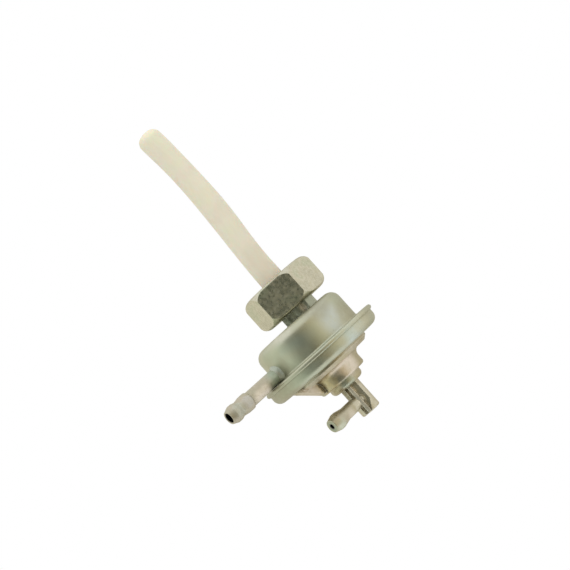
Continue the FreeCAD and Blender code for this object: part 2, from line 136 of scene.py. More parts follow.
def addNode(tree, kind, inputs, **settings):
    node = tree.nodes.new(kind)
    for key, value in settings.items():
        setattr(node, key, value)
    for socket, value in inputs.items():
        if isinstance(value, bpy.types.NodeSocket):
            tree.links.new(value, node.inputs[socket])
        else:
            node.inputs[socket].default_value = value
    return node


def calc(tree, operation, *values):
    return addNode(tree, "ShaderNodeMath", dict(enumerate(values)), operation=operation).outputs[0]


def vectorCalc(tree, operation, *values):
    return addNode(tree, "ShaderNodeVectorMath", dict(enumerate(values)), operation=operation)


def between(tree, value, low, high, atLow=0.0, atHigh=1.0, kind="SMOOTHSTEP"):  # atLow to atHigh
    inputs = {"Value": value, "From Min": low, "From Max": high, "To Min": atLow, "To Max": atHigh}
    return addNode(tree, "ShaderNodeMapRange", inputs, interpolation_type=kind).outputs["Result"]


def ownPlace(tree, stretch=(1, 1, 1), shift=(0, 0, 0)):
    coordinates = addNode(tree, "ShaderNodeTexCoord", {})
    inputs = {"Vector": coordinates.outputs["Object"], "Scale": stretch, "Location": shift}
    return addNode(tree, "ShaderNodeMapping", inputs).outputs["Vector"]


def cloud(tree, place, size, detail=3.0, roughness=0.5, warp=0.0):  # noise with features of that size
    inputs = {
        "Vector": place, "Scale": 1 / size,
        "Detail": detail, "Roughness": roughness, "Distortion": warp,
    }
    return addNode(tree, "ShaderNodeTexNoise", inputs).outputs["Fac"]


def blend(tree, share, first, second, mode="MIX"):
    node = addNode(tree, "ShaderNodeMix", {}, data_type="RGBA", blend_type=mode)
    for socket, value in zip((node.inputs[0], node.inputs[6], node.inputs[7]), (share, first, second)):
        if isinstance(value, bpy.types.NodeSocket):
            tree.links.new(value, socket)
        elif isinstance(value, (int, float)):
            socket.default_value = value
        else:
            socket.default_value = (*value, 1)
    return node.outputs[2]


def tints(tree, value, stops):  # colour ramp from (position, colour) stops
    node = addNode(tree, "ShaderNodeValToRGB", {"Fac": value})
    elements = node.color_ramp.elements
    for index, (position, colour) in enumerate(stops):
        element = elements[index] if index < len(elements) else elements.new(position)
        element.position = position
        element.color = (*colour, 1)
    return node.outputs["Color"]


def spot(tree, place, centre, radius, softness):  # 1 near a point of the object, 0 beyond
    distance = vectorCalc(tree, "DISTANCE", place, tuple(centre)).outputs["Value"]
    return between(tree, distance, radius, radius + softness, 1.0, 0.0)


def roundedNormal(tree, radius):
    return addNode(tree, "ShaderNodeBevel", {"Radius": radius}, samples=bevelSamples).outputs["Normal"]


def edgeShare(tree, rounded):  # 1 where the rounded normal leaves the true one
    trueNormal = addNode(tree, "ShaderNodeNewGeometry", {}).outputs["Normal"]
    dot = vectorCalc(tree, "DOT_PRODUCT", rounded, trueNormal).outputs["Value"]
    return between(tree, dot, *edgeTurn, 1.0, 0.0)


def bump(tree, height, depth, normal=None):
    inputs = {"Height": height, "Distance": depth, "Strength": 1.0}
    if normal:
        inputs["Normal"] = normal
    return addNode(tree, "ShaderNodeBump", inputs).outputs["Normal"]


# painted shade inside the mouths of the bores
boreBlack = (0.01, 0.01, 0.01)


def bloomAt(at, radius, softness, colour, share, even=0.5):  # local tint, often a painted highlight, reflection or shade; sizes in mm, ragged below even 1
    return {
        "at": at, "radius": radius * mm, "softness": softness * mm,
        "colour": colour, "share": share, "even": even,
    }


# Metal with a thin passivated plating: cloudy tints, local tints (many of them painted highlights,
# reflections and shade), specks, grain, worn edges
def platedMetal(name, look):
    tree, shader, material = startMaterial(name)
    place = ownPlace(tree)
    clouds = cloud(tree, place, look["cloudSize"], detail=2.0, warp=0.4)
    colour = tints(tree, between(tree, clouds, *cloudSpan), look["tints"])
    for bloom in look.get("blooms", []):
        mask = spot(tree, place, bloom["at"], bloom["radius"], bloom["softness"])
        ragged = cloud(tree, place, bloom["radius"] / 2, detail=2.0)
        mask = calc(tree, "MULTIPLY", mask, between(tree, ragged, *raggedSpan, bloom["even"], 1.0))
        mask = calc(tree, "MULTIPLY", mask, bloom["share"])
        colour = blend(tree, mask, colour, bloom["colour"])
    grainPlace = ownPlace(tree, look["grainStretch"])
    fine = cloud(tree, grainPlace, look["grainSize"], detail=4.0, roughness=0.6)
    colour = blend(tree, look["grainShare"], colour, tints(tree, fine, look["grainTints"]), "OVERLAY")
    specks = cloud(tree, ownPlace(tree, shift=speckShift), look["speckSize"], detail=1.0)
    speckStart = 1 - look["speckArea"]
    speckMask = between(tree, specks, speckStart, speckStart + speckFade, 0.0, look["speckShare"])
    colour = blend(tree, speckMask, colour, look["speckColour"])
    rounded = roundedNormal(tree, look["edgeRadius"])
    edges = edgeShare(tree, rounded)
    colour = blend(tree, calc(tree, "MULTIPLY", edges, look["edgeShare"]), colour, look["edgeColour"])
    tree.links.new(colour, shader.inputs["Base Color"])
    smear = cloud(tree, place, look["smearSize"], roughness=0.6)
    roughness = between(tree, smear, *cloudSpan, *look["roughness"])
    tree.links.new(roughness, shader.inputs["Roughness"])
    waves = cloud(tree, place, look["waveSize"], detail=2.0)
    normal = bump(tree, waves, look["waveDepth"], rounded)
    normal = bump(tree, fine, look["grainDepth"], normal)
    tree.links.new(normal, shader.inputs["Normal"])
    shader.inputs["Metallic"].default_value = look["metallic"]
    return material


# Plain moulded, cut or drawn stuff inside and between: two tints and a fine bump
def plainStuff(name, look):
    tree, shader, material = startMaterial(name)
    place = ownPlace(tree, look.get("stretch", (1, 1, 1)))
    clouds = cloud(tree, place, look["cloudSize"], detail=4.0, roughness=0.6)
    colour = tints(tree, clouds, zip(plainStops, look["tints"]))
    tree.links.new(colour, shader.inputs["Base Color"])
    tree.links.new(between(tree, clouds, *cloudSpan, *look["roughness"]), shader.inputs["Roughness"])
    grain = cloud(tree, place, look["grainSize"])
    normal = bump(tree, grain, look["grainDepth"], roundedNormal(tree, look["edgeRadius"]))
    tree.links.new(normal, shader.inputs["Normal"])
    shader.inputs["Metallic"].default_value = look["metallic"]
    return material


def dress(node, material):
    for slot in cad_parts[node].material_slots:
        slot.material = material


# Zinc plating of the drawn housing, greenish grey with brown and blue-green tints, and painted
# reflections, shade and a highlight on the cup and rim
housingLook = {
    "cloudSize": 14 * mm,
    "tints": [(0.0, (0.48, 0.51, 0.39)), (0.45, (0.52, 0.52, 0.39)), (1.0, (0.49, 0.53, 0.43))],
    "grainSize": 0.35 * mm, "grainStretch": (1, 1, 0.25), "grainShare": 0.14, "grainDepth": 0.006 * mm,
    "grainTints": [(0.3, (0.42, 0.42, 0.40)), (0.7, (0.58, 0.58, 0.56))],
    "speckSize": 0.9 * mm, "speckArea": 0.27, "speckShare": 0.35, "speckColour": (0.36, 0.36, 0.30),
    "edgeRadius": 0.15 * mm, "edgeShare": 0.4, "edgeColour": (0.78, 0.78, 0.70),
    "smearSize": 5 * mm, "roughness": (0.30, 0.42),
    "waveSize": 6 * mm, "waveDepth": 0.05 * mm,
    "metallic": 0.86,
    "blooms": [
        bloomAt(housingSpot(182, 20, -23.5), 5, 9, (0.40, 0.39, 0.28), 0.9),  # pan, brown left
        bloomAt(housingSpot(279, 20, -24.5), 2.5, 4, (0.58, 0.65, 0.60), 0.9),  # pan, blue-green right
        bloomAt(housingSpot(279, 15.8, -15.5), 2.5, 4, (0.55, 0.58, 0.53), 0.8),  # cup's wall on the right
        bloomAt(housingSpot(302, 15.8, -18), 3, 4, (0.42, 0.41, 0.29), 0.8),  # cup's wall, far right, painted darker reflection
        bloomAt(housingSpot(287, 20, -19.8), 3, 4, (0.55, 0.53, 0.38), 0.7),  # rim on the right, painted yellowish reflection
        bloomAt(housingSpot(272, 14, -8.5), 3, 4, (0.40, 0.39, 0.30), 0.8),  # cup's shoulder, right, painted shade
        bloomAt(housingSpot(222, 14, -8.5), 2, 3, (0.62, 0.61, 0.50), 0.8)],  # cup's shoulder, left, painted highlight
}
housingPlating = platedMetal("housingPlating", housingLook)
dress("upper_cup", housingPlating)
dress("lower_pan", housingPlating)

# Union nut and neck, beige zinc with a mottled pickled grain
nutLook = {
    "cloudSize": 6 * mm,
    "tints": [(0.0, (0.58, 0.56, 0.45)), (0.5, (0.64, 0.61, 0.49)), (1.0, (0.58, 0.59, 0.46))],
    "grainSize": 0.8 * mm, "grainStretch": (1, 1, 1), "grainShare": 0.5, "grainDepth": 0.03 * mm,
    "grainTints": [(0.32, (0.34, 0.35, 0.33)), (0.68, (0.66, 0.65, 0.62))],
    "speckSize": 1.0 * mm, "speckArea": 0.26, "speckShare": 0.4, "speckColour": (0.35, 0.34, 0.28),
    "edgeRadius": 0.10 * mm, "edgeShare": 0.5, "edgeColour": (0.80, 0.78, 0.68),
    "smearSize": 1.0 * mm, "roughness": (0.22, 0.46),
    "waveSize": 1.6 * mm, "waveDepth": 0.03 * mm,
    "metallic": 1.0,
}
nutPlating = platedMetal("nutPlating", nutLook)


def neckSpot(azimuth, away, height=-7.0):  # about the neck's axis, in degrees and mm
    return heading(azimuth) * away * mm + Vector((0, 0, height * mm))


neckLook = dict(
    nutLook,
    tints=[(0.0, (0.60, 0.63, 0.50)), (1.0, (0.68, 0.70, 0.56))],
    blooms=[
        bloomAt(neckSpot(172, 6.1), 2.0, 0.8, (0.16, 0.18, 0.12), 1.0),  # painted shade in the slot on the left
        bloomAt(neckSpot(243, 3.4), 0.7, 1.2, (0.36, 0.38, 0.28), 0.8),  # painted dark reflection on the core's middle
        bloomAt(neckSpot(274, 3.2), 1.0, 0.8, (1.0, 0.92, 0.76), 1.0)],  # painted pink highlight on the core
    grainSize=0.3 * mm, grainShare=0.3, roughness=(0.42, 0.52), edgeRadius=0.12 * mm, metallic=0.38,
)
dress("inlet_neck", platedMetal("neckPlating", neckLook))

# Fuel outlet, turned, beige, with a painted pink highlight on its stem, painted shade at its root and in
# its bore, and a painted sheen on its inner bead
def outletSpot(along, rise, aside=-2.4):  # by the tube's axis: at x, above it and to its side, in mm
    return Vector((along, aside, rise)) * mm + boxCentre("fuel_outlet_barb") * Vector((0, 1, 1))


outletLook = dict(
    nutLook,
    cloudSize=7 * mm,
    tints=[(0.0, (0.48, 0.45, 0.34)), (0.5, (0.52, 0.47, 0.37)), (1.0, (0.49, 0.46, 0.35))],
    blooms=[
        bloomAt(outletSpot(-20, -0.5), 3.0, 4.0, (0.43, 0.50, 0.40), 0.9),  # root, green, painted shade
        bloomAt(outletSpot(-27.6, -1.4), 0.6, 2.2, (0.90, 0.82, 0.70), 0.9),  # stem, painted light pink highlight
        bloomAt(outletSpot(-30.4, -1.4), 0.6, 2.2, (0.90, 0.82, 0.70), 0.9),  # the same highlight further out
        # painted shade inside the bore's mouth
        *(bloomAt(outletSpot(along, 0, 0), 1.7, 0.1, boreBlack, 1.0, even=1.0)
          for along in (-41, -40, -38.5, -37)),
        bloomAt(outletSpot(-34.7, 0), 1.2, 1.2, (0.58, 0.57, 0.53), 0.8),  # inner bead, painted sheen
        bloomAt(outletSpot(-38.4, 0), 1.6, 1.2, (0.53, 0.54, 0.46), 0.8)],  # outer bead
    grainSize=0.4 * mm, grainStretch=(3.5, 0.6, 0.6), grainShare=0.12, grainDepth=0.004 * mm,
    speckArea=0.22, speckShare=0.2,
    edgeRadius=0.12 * mm, waveSize=4 * mm, waveDepth=0.02 * mm, roughness=(0.42, 0.54), metallic=0.8,
)
dress("fuel_outlet_barb", platedMetal("outletPlating", outletLook))
brazeLook = dict(
    outletLook,
    tints=[(0.0, (0.42, 0.46, 0.38)), (1.0, (0.52, 0.54, 0.45))],
    blooms=[], waveSize=0.8 * mm, waveDepth=0.08 * mm, roughness=(0.3, 0.45), metallic=0.7,
)
dress("outlet_braze_ring", platedMetal("brazeMetal", brazeLook))

# Vacuum cover, a die casting with a yellow passivation; the pink on its dome is a painted reflection, and
# spots paint highlights and shade on its dome, gusset, post and barb
castingLook = dict(
    nutLook,
    cloudSize=9 * mm,
    tints=[(0.0, (0.47, 0.42, 0.27)), (0.5, (0.53, 0.48, 0.36)), (1.0, (0.50, 0.47, 0.35))],
    blooms=[
        bloomAt(housingSpot(208, 8.3, -28.5), 2.6, 3.2, (0.56, 0.46, 0.26), 0.9),  # dome, yellow left
        bloomAt(housingSpot(266, 8.3, -28.5), 2.0, 3.2, (0.78, 0.69, 0.58), 0.9),  # dome, pink right, painted reflection
        bloomAt(housingSpot(237, 8.3, -27.0), 1.0, 1.6, (0.72, 0.64, 0.52), 0.7),  # dome's middle, painted highlight
        bloomAt(housingSpot(238, 8.3, -30.6), 0.6, 1.2, (0.32, 0.31, 0.24), 0.7),  # dome's lower edge, painted dark reflection
        bloomAt(housingSpot(184.5, 13.0, -28.0), 2.6, 2.0, (0.68, 0.60, 0.49), 0.9),  # gusset, painted highlight
        bloomAt(housingSpot(245, 5.8, -32.9), 1.4, 1.6, (0.44, 0.49, 0.38), 0.8),  # cap, green right
        bloomAt(housingSpot(197, 5.8, -32.9), 1.2, 1.2, (0.40, 0.34, 0.20), 0.8),  # cap, brown left
        bloomAt(housingSpot(0, 0, -39.5), 4.8, 1.0, (0.66, 0.62, 0.49), 0.8),  # post, all round
        bloomAt(housingSpot(178, 3.3, -35.4), 1.4, 1.0, (0.26, 0.23, 0.15), 0.9),  # post's left side, painted shade
        bloomAt(housingSpot(192, 7.5, -40.4), 1.0, 1.6, (0.68, 0.61, 0.49), 0.8),  # barb's stem, painted highlight
        bloomAt(housingSpot(188, 12.3, -40.2), 1.2, 1.6, (0.58, 0.63, 0.50), 0.8),  # barb's bead, painted highlight
        bloomAt(housingSpot(184.5, 15.0, -39.1), 1.5, 1.1, (0.36, 0.40, 0.30), 1.0),  # barb's mouth
        bloomAt(housingSpot(225, 2.6, -35.6), 1.2, 0.6, (0.90, 0.80, 0.62), 1.0),  # post's front, painted highlight
        # painted shade inside the barb's bore
        *(bloomAt(housingSpot(184.5, away, -39.1), 0.95, 0.1, boreBlack, 1.0, even=1.0)
          for away in (14.3, 13.2, 12.1, 11.0)),
        *(bloomAt(housingSpot(192, 8.7, height), 0.5, 0.5, (0.13, 0.11, 0.06), 0.95)  # painted shade along the gusset's inner edge
          for height in (-26.6, -27.9, -29.2, -30.5)),
        *(bloomAt(housingSpot(233, 3.3, height), 0.6, 0.5, (0.86, 0.80, 0.66), 0.9)   # painted highlight on the post's rib
          for height in (-35, -36.5, -38, -39.5, -41, -42.5))],
    grainSize=0.4 * mm, grainShare=0.2, grainDepth=0.012 * mm, speckShare=0.25,
    edgeRadius=0.35 * mm, waveSize=3 * mm, waveDepth=0.05 * mm, roughness=(0.30, 0.44), metallic=0.8,
)
dress("vacuum_cover", platedMetal("coverCasting", castingLook))
print("outside metals dressed")

# Inside parts
brassLook = {
    "cloudSize": 2 * mm, "tints": ((0.66, 0.47, 0.20), (0.74, 0.55, 0.27)), "roughness": (0.22, 0.36),
    "grainSize": 0.15 * mm, "grainDepth": 0.004 * mm, "edgeRadius": 0.1 * mm, "metallic": 1.0,
    "stretch": (0.3, 0.3, 3),
}
for node in ("standpipe", "seat_block", "valve_stem"):
    dress(node, plainStuff("brass_" + node, brassLook))
rubberLook = {
    "cloudSize": 1.5 * mm, "tints": ((0.018, 0.018, 0.018), (0.035, 0.034, 0.032)),
    "roughness": (0.55, 0.75), "grainSize": 0.2 * mm, "grainDepth": 0.01 * mm,
    "edgeRadius": 0.1 * mm, "metallic": 0.0,
}
for node in ("tank_gasket", "valve_pad", "fuel_diaphragm", "vacuum_diaphragm"):
    dress(node, plainStuff("rubber_" + node, rubberLook))
collarLook = {
    "cloudSize": 3 * mm, "tints": ((0.74, 0.70, 0.58), (0.80, 0.77, 0.66)), "roughness": (0.35, 0.5),
    "grainSize": 0.4 * mm, "grainDepth": 0.006 * mm, "edgeRadius": 0.15 * mm, "metallic": 0.0,
}
dress("strainer_collar", plainStuff("nylonCollar", collarLook))
fibreLook = {
    "cloudSize": 0.5 * mm, "tints": ((0.30, 0.09, 0.05), (0.42, 0.15, 0.09)), "roughness": (0.6, 0.8),
    "grainSize": 0.15 * mm, "grainDepth": 0.02 * mm, "edgeRadius": 0.05 * mm, "metallic": 0.0,
}
dress("neck_washer", plainStuff("redFibre", fibreLook))
steelLook = {
    "cloudSize": 2 * mm, "tints": ((0.50, 0.50, 0.48), (0.62, 0.61, 0.58)), "roughness": (0.22, 0.38),
    "grainSize": 0.2 * mm, "grainDepth": 0.005 * mm, "edgeRadius": 0.08 * mm, "metallic": 1.0,
}
for node in ("fuel_side_plate", "spring_plate", "stem_washer", "return_spring"):
    dress(node, plainStuff("steel_" + node, steelLook))
alloyLook = dict(steelLook, tints=((0.62, 0.62, 0.60), (0.72, 0.72, 0.70)), roughness=(0.3, 0.45))
for node in ("diaphragm_spacer_ring", "centre_spacer"):
    dress(node, plainStuff("alloy_" + node, alloyLook))
print("inside parts dressed")

# Strainer sock: a tube of fine nylon cloth round the line of its solid
sockLook = {
    "samples": 24, "rings": 150, "sides": 72, "tipRings": 9,
    "reach": 30 * mm, "footStep": 0.1 * mm,   # rays from so far off, the lowest so far above the foot
    "tipHeight": 3.0 * mm, "tipCorner": 2.8 * mm, "wall": 0.35 * mm,
    "bulge": 0.10 * mm, "bulgeLength": 34 * mm, "bulgeStart": 2.2,
    "bulgeRise": 8 * mm, "bulgeFall": 6 * mm,   # lengths over which it sets in and dies out
    "threadPitch": 0.24 * mm, "threadDepth": 0.02 * mm, "threadShade": 0.10, "gapSpan": (0.15, 0.6),
    "creaseSize": 3 * mm, "creaseDepth": 0.12 * mm, "creaseStretch": (1, 1, 0.3),
    "tints": [(0.0, (0.68, 0.615, 0.475)), (0.5, (0.72, 0.66, 0.52)), (1.0, (0.705, 0.665, 0.495))],
    "gapShade": (0.55, 0.50, 0.38), "cloudSize": 11 * mm,
    "roughness": 0.62, "subsurface": 0.2, "subsurfaceScale": 1.0 * mm,
}


def sockCentres(look):  # points on the centre line, midway between the solid's outer walls
    wall = wallTree("strainer_sock")
    low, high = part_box("strainer_sock")
    bottom = low.z + look["footStep"]
    top = high.z - look["tipHeight"] - look["tipCorner"] / 2
    centre = neckAxis.copy()
    centres = []
    for step in range(look["samples"]):
        centre.z = bottom + (top - bottom) * step / (look["samples"] - 1)
        for turn in (Vector((1, 0, 0)), Vector((0, 1, 0))):
            ahead = wall.ray_cast(centre + turn * look["reach"], -turn)[0]
            behind = wall.ray_cast(centre - turn * look["reach"], turn)[0]
            centre += turn * ((ahead + behind) / 2 - centre).dot(turn)
        centres.append(centre.copy())
    return centres


def sockOutline(look):  # (place on the line, radius) pairs, from the collar over the closed tip
    low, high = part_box("strainer_sock")
    wall = wallTree("strainer_sock")
    start = neckAxis + Vector((look["reach"], 0, low.z + look["footStep"]))
    radius = wall.ray_cast(start, Vector((-1, 0, 0)))[0].x - neckAxis.x
    length = high.z - low.z
    straight = length - look["tipCorner"]
    pairs = []
    for ring in range(look["rings"]):
        along = straight * ring / (look["rings"] - 1)
        phase = look["bulgeStart"] + along / look["bulgeLength"] * 2 * math.pi
        grow = min(1, along / look["bulgeRise"], (straight - along) / look["bulgeFall"])
        pairs.append((along, radius + look["bulge"] * math.sin(phase) * grow))
    for ring in range(1, look["tipRings"] + 1):
        angle = math.pi / 2 * ring / look["tipRings"]
        pairs.append((
            straight + look["tipCorner"] * math.sin(angle),
            radius - look["tipCorner"] * (1 - math.cos(angle))))
    pairs.append((length, (radius - look["tipCorner"]) / 2))
    return pairs


def lineFrames(centres, alongs):  # place, side and second side at each distance along the line
    runs = [(second - first).length for first, second in zip(centres, centres[1:])]
    frames = []
    for along in alongs:
        left = along
        index = 0
        while index < len(runs) - 1 and left > runs[index]:
            left -= runs[index]
            index += 1
        ahead = (centres[index + 1] - centres[index]).normalized()
        before = (centres[index] - centres[max(index - 1, 0)]) if index else ahead
        after = centres[min(index + 2, len(centres) - 1)] - centres[min(index + 1, len(centres) - 2)]
        share = min(left / runs[index], 1)
        tangent = before.normalized().lerp(after.normalized(), share).normalized()
        side = tangent.cross(Vector((0, 1, 0))).normalized()
        frames.append((centres[index] + ahead * left, side, tangent.cross(side)))
    return frames


def makeSock(look):
    outline = sockOutline(look)
    frames = lineFrames(sockCentres(look), [along for along, radius in outline])
    sides = look["sides"]
    threads = round(math.pi * outline[0][1] / look["threadPitch"]) * 2  # even, so the weave closes
    shape = bmesh.new()
    weave = shape.loops.layers.uv.new("weave")
    rings = []
    for (along, radius), (place, side, other) in zip(outline, frames):
        ring = []
        for step in range(sides):
            angle = 2 * math.pi * step / sides
            outward = side * math.cos(angle) + other * math.sin(angle)
            ring.append(shape.verts.new(place + outward * radius))
        rings.append(ring)
    for index in range(len(rings) - 1):
        for step in range(sides):
            following = (step + 1) % sides
            face = shape.faces.new((
                rings[index][step], rings[index][following],
                rings[index + 1][following], rings[index + 1][step]))
            corners = ((step, index), (step + 1, index), (step + 1, index + 1), (step, index + 1))
            for loop, (around, ringIndex) in zip(face.loops, corners):
                loop[weave].uv = (threads * around / sides, outline[ringIndex][0] / look["threadPitch"])
            face.smooth = True
    shape.faces.new(rings[-1]).smooth = True
    bmesh.ops.recalc_face_normals(shape, faces=shape.faces)
    sock = makeObject("strainer_cloth", shape)
    thick = sock.modifiers.new("wall", "SOLIDIFY")
    thick.thickness = look["wall"]
    thick.offset = -1
    sock.data.materials.append(sockCloth(look))
    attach(sock, "tap_body")
    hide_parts("strainer_sock")


def sockCloth(look):  # plain weave of fine cream threads, with painted shade in the gaps between them
    tree, shader, material = startMaterial("sockCloth")
    uv = addNode(tree, "ShaderNodeUVMap", {}, uv_map="weave").outputs["UV"]
    split = addNode(tree, "ShaderNodeSeparateXYZ", {"Vector": uv})
    warp = calc(tree, "SINE", calc(tree, "MULTIPLY", split.outputs["X"], math.pi))
    weft = calc(tree, "SINE", calc(tree, "MULTIPLY", split.outputs["Y"], math.pi))
    over = calc(tree, "MULTIPLY_ADD", calc(tree, "MULTIPLY", warp, weft), 0.5, 0.5)
    warpHeight = calc(tree, "MULTIPLY", calc(tree, "ABSOLUTE", warp), over)
    weftHeight = calc(tree, "MULTIPLY", calc(tree, "ABSOLUTE", weft), calc(tree, "SUBTRACT", 1.0, over))
    height = calc(tree, "ADD", warpHeight, weftHeight)
    place = ownPlace(tree)
    clouds = cloud(tree, place, look["cloudSize"], detail=2.0, warp=0.3)
    colour = tints(tree, between(tree, clouds, *cloudSpan), look["tints"])
    # painted shade in the gaps between the threads
    gap = between(tree, height, *look["gapSpan"], look["threadShade"], 0.0)
    colour = blend(tree, gap, colour, look["gapShade"])
    tree.links.new(colour, shader.inputs["Base Color"])
    creases = cloud(tree, ownPlace(tree, look["creaseStretch"]), look["creaseSize"], detail=2.0)
    normal = bump(tree, creases, look["creaseDepth"])
    tree.links.new(bump(tree, height, look["threadDepth"], normal), shader.inputs["Normal"])
    shader.inputs["Roughness"].default_value = look["roughness"]
    shader.inputs["Subsurface Weight"].default_value = look["subsurface"]
    shader.inputs["Subsurface Scale"].default_value = look["subsurfaceScale"]
    return material


makeSock(sockLook)
print("sock made")

# Union nut with the tank thread cut into its bore
threadLook = {
    "pitch": 1.5 * mm, "depth": 0.8 * mm, "rootHalf": 0.09 * mm, "crestHalf": 0.56 * mm,
    "overlap": 0.15 * mm,          # how far the cutter starts inside the bore
    "steps": 72, "runIn": 1.0,     # turns above the mouth
    "bottom": -1.6 * mm, "fade": 0.7, "leastCut": 0.02,   # runs out over so many turns, to this share
    "flatTilt": 0.01, "flatReach": 0.01 * mm, "smoothAngle": 32,   # what still counts as a flat's face
}


def threadCutter(look, boreRadius, top):
    half = look["crestHalf"] + (look["crestHalf"] - look["rootHalf"]) * look["overlap"] / look["depth"]
    turns = look["runIn"] + (top - look["bottom"]) / look["pitch"]
    count = int(turns * look["steps"])
    shape = bmesh.new()
    sections = []
    for step in range(count + 1):
        turn = step / look["steps"]
        outward = heading(360 * turn)
        height = top + look["runIn"] * look["pitch"] - look["pitch"] * turn
        cut = min(1, (turns - turn) / look["fade"])
        start = boreRadius - look["overlap"]
        deep = (look["depth"] + look["overlap"]) * max(cut, look["leastCut"])
        middle = neckAxis + Vector((0, 0, height))
        near = outward * start
        far = outward * (start + deep)
        section = ((near, half), (far, look["rootHalf"]), (far, -look["rootHalf"]), (near, -half))
        corners = [middle + across + Vector((0, 0, rise)) for across, rise in section]
        sections.append([shape.verts.new(corner) for corner in corners])
    for first, second in zip(sections, sections[1:]):
        for corner in range(4):
            following = (corner + 1) % 4
            shape.faces.new((first[corner], first[following], second[following], second[corner]))
    shape.faces.new(sections[0])
    shape.faces.new(sections[-1][::-1])
    bmesh.ops.recalc_face_normals(shape, faces=shape.faces)
    return makeObject("threadCutter", shape)


def keepFlatsFlat(look, mesh):  # sharp edges round the six flats and at real corners
    shape = bmesh.new()
    shape.from_mesh(mesh)
    upright = [face for face in shape.faces if abs(face.normal.z) < look["flatTilt"]]
    reach = {face: (face.calc_center_median() - neckAxis).dot(face.normal) for face in upright}
    furthest = max(reach.values())
    flats = {face for face in upright if reach[face] > furthest - look["flatReach"]}
    for edge in shape.edges:
        onFlat = {face in flats for face in edge.link_faces}
        edge.smooth = len(onFlat) == 1 and edge.calc_face_angle(0) < math.radians(look["smoothAngle"])
    shape.to_mesh(mesh)
    shape.free()


def makeThreadedNut(look):
    low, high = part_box("union_nut")
    wall = wallTree("union_nut")
    middle = neckAxis + Vector((0, 0, (high.z + look["bottom"]) / 2))
    boreRadius = (wall.ray_cast(middle, Vector((1, 0, 0)))[0] - middle).length
    blank = makeObject("nutBlank", weldedShape("union_nut"))
    cutter = threadCutter(look, boreRadius, high.z)
    cut = blank.modifiers.new("thread", "BOOLEAN")
    cut.operation = "DIFFERENCE"
    cut.solver = "EXACT"
    cut.object = cutter
    bpy.context.view_layer.update()
    evaluated = blank.evaluated_get(bpy.context.evaluated_depsgraph_get())
    mesh = bpy.data.meshes.new_from_object(evaluated)
    mesh.name = "threaded_nut"
    mesh.materials.clear()
    mesh.materials.append(nutPlating)
    mesh.polygons.foreach_set("use_smooth", [True] * len(mesh.polygons))
    keepFlatsFlat(look, mesh)
    for piece in (blank, cutter):
        bpy.data.objects.remove(piece)
    nut = bpy.data.objects.new("threaded_nut", mesh)
    bpy.context.scene.collection.objects.link(nut)
    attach(nut, "nut")
    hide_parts("union_nut")
    print("nut threaded,", len(mesh.polygons), "faces")


makeThreadedNut(threadLook)

# Diaphragms cut into sectors scored in rings, and the spring as a piece of its own: the parts that give
# way as the valve opens
flexLook = {
    "sectors": 8,                  # of each diaphragm, each cut out about its own radius
    "rings": 6,                    # cuts across a sector between the clamped edge and the plate
    "diaphragms": {"fuel_diaphragm": "fuel_side_plate", "vacuum_diaphragm": "spring_plate"},
    "clampSide": 90,               # azimuth where the clamped ring is whole
}


def makeFlexPiece(node, name, shape):
    piece = makeObject(name, shape)
    piece.data.materials.append(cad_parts[node].material_slots[0].material)
    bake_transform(piece)
    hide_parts(node)


def cutShape(shape, place, normal, trim):  # trimmed beyond the plane and closed again, or only scored
    parts = shape.verts[:] + shape.edges[:] + shape.faces[:]
    cut = bmesh.ops.bisect_plane(shape, geom=parts, plane_co=place, plane_no=normal, clear_outer=trim)
    if trim:
        edges = [part for part in cut["geom_cut"] if isinstance(part, bmesh.types.BMEdge)]
        bmesh.ops.triangle_fill(shape, edges=edges, use_beauty=True)


def makeFlexibleDiaphragm(look, node, plate):
    low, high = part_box(plate)
    plateRadius = (high.x - low.x) / 2
    level = boxCentre("diaphragm_spacer_ring")
    clampEdge = wallTree("diaphragm_spacer_ring").ray_cast(level, heading(look["clampSide"]))[0]
    clampRadius = (clampEdge - level).length
    half = 180 / look["sectors"]
    bendStart = clampRadius * math.cos(math.radians(half))
    for sector in range(look["sectors"]):
        middle = 2 * half * sector
        outward = heading(middle)
        shape = weldedShape(node)
        cutShape(shape, housingAxis, heading(middle + half + 90), True)
        cutShape(shape, housingAxis, heading(middle - half - 90), True)
        for ring in range(look["rings"] + 1):
            away = bendStart + (plateRadius - bendStart) * ring / look["rings"]
            cutShape(shape, housingAxis + outward * away, outward, False)
        bmesh.ops.triangulate(shape, faces=shape.faces)
        makeFlexPiece(
            node, node + "_sector_" + str(sector + 1), shape)


def makeFlexibleSpring():
    node = "return_spring"
    makeFlexPiece(node, "return_coil", weldedShape(node))


for node, plate in flexLook["diaphragms"].items():
    makeFlexibleDiaphragm(flexLook, node, plate)
makeFlexibleSpring()

# The room, white to the camera, with the wall that metal mirrors
roomLook = {
    "level": 0.80,                 # what the surfaces receive from all round
    "front": 240.0,                # azimuth from which the angles of the wall's tints are told
    "wall": [                      # degrees aside and the tint there, dark opening in the middle
        (-180, (0.58, 0.54, 0.43)), (-145, (0.80, 0.77, 0.66)), (-110, (0.82, 0.80, 0.69)),
        (-85, (0.88, 0.97, 0.90)), (-60, (0.88, 0.94, 0.85)), (-43, (0.34, 0.37, 0.31)),
        (-28, (0.135, 0.155, 0.135)), (0, (0.135, 0.135, 0.095)), (16, (0.42, 0.32, 0.16)),
        (30, (0.78, 0.68, 0.45)), (50, (0.96, 0.95, 0.90)), (85, (1.0, 1.0, 0.98)),
        (115, (0.85, 0.81, 0.74)), (145, (0.66, 0.62, 0.52)), (180, (0.58, 0.54, 0.43))],
    "wallLow": (-88.0, -71.0), "wallHigh": (24.0, 46.0),   # elevations where the tints fade to white
}


